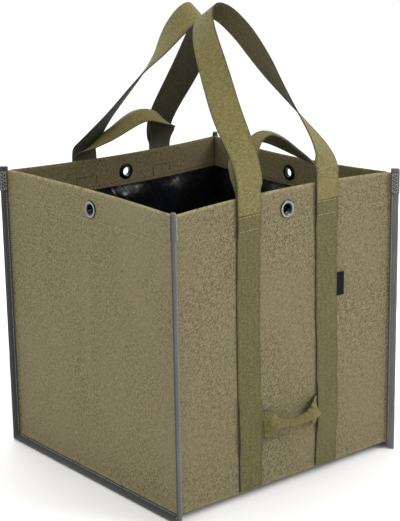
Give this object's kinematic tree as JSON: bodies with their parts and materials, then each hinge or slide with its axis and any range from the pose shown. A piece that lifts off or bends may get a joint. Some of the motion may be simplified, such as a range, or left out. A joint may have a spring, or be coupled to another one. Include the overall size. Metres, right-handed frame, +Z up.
{
  "type": "canvas log carrier",
  "caption": "Square open-topped canvas bag for firewood with a dark lining, taped corner seams, long and short webbing handles and a tip handle.",
  "frame": {"origin": "on the floor under the middle of the carrier's bounding box", "axes": "+Z up; the front wall, with the tip handle and the side label, faces -Y; +X to the right of someone who looks at the front wall"},
  "size_m": [0.4052, 0.4264, 0.6508],
  "materials": {
    "canvas": "waxed canvas",
    "lining": "coated, slightly glossy",
    "tape": "woven tape",
    "webbing": "heavy woven webbing",
    "nickel": "polished nickel",
    "dark_metal": "dark satin",
    "label": "plain woven label"
  },
  "bodies": {
    "root": {"wrap_panel": "canvas", "side_panel_left": "canvas", "side_panel_right": "canvas", "lining": "lining", "binding_left": "tape", "binding_right": "tape", "corner_cap_front_left": "tape", "corner_cap_front_right": "tape", "corner_cap_back_left": "tape", "corner_cap_back_right": "tape", "strap_left": "webbing", "strap_right": "webbing", "handle_front": "webbing", "handle_back": "webbing", "short_handle_front": "webbing", "short_handle_back": "webbing", "tip_handle": "webbing", "side_label": "label", "eyelet_front": "nickel", "eyelet_back": "nickel", "eyelet_left": "nickel", "eyelet_right": "nickel", "washer_front": "dark_metal", "washer_back": "dark_metal", "washer_left": "dark_metal", "washer_right": "dark_metal"}
  },
  "joints": []
}
